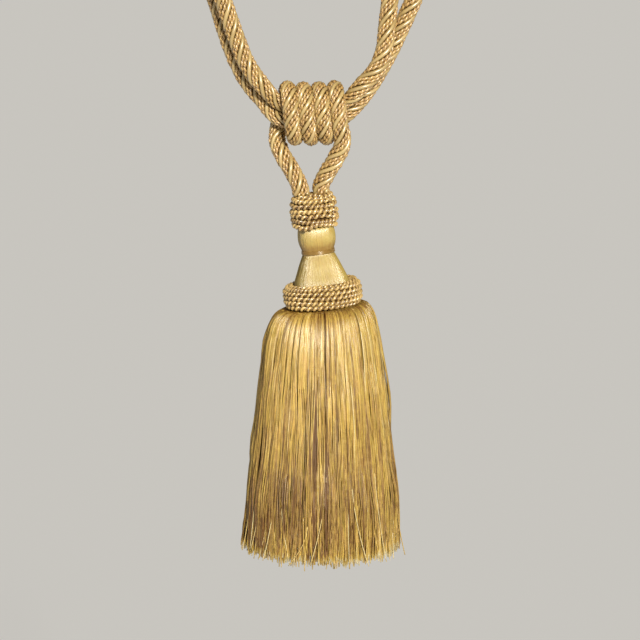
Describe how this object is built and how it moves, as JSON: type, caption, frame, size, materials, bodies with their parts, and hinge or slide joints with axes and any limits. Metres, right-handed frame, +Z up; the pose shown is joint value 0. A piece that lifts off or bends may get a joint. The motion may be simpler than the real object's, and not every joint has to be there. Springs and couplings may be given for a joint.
{
  "type": "curtain tieback tassel",
  "caption": "Doubled twisted rope with an end loop at each side and a fringed tassel hung from a wound knot, for holding back a curtain.",
  "frame": {"origin": "midway between the crowns of the two end loops, where hooks on the wall hold them, at the part's top edge", "axes": "+Z up, +X from the left loop to the right one as seen from the front, +Y to the back; the tassel hangs down -Z"},
  "size_m": [0.1289, 0.0792, 0.3195],
  "materials": {
    "rope": "satin twisted rope",
    "wound_cord": "wound twisted cord",
    "satin": "smooth satin thread",
    "tie": "satin thread",
    "fringe": "cut rayon yarn"
  },
  "bodies": {
    "root": {"embrace_rope": "rope", "hanger_rope": "rope", "collar": "wound_cord", "head": "satin", "waist_tie": "tie", "ruff": "wound_cord", "skirt": "fringe"}
  },
  "joints": []
}
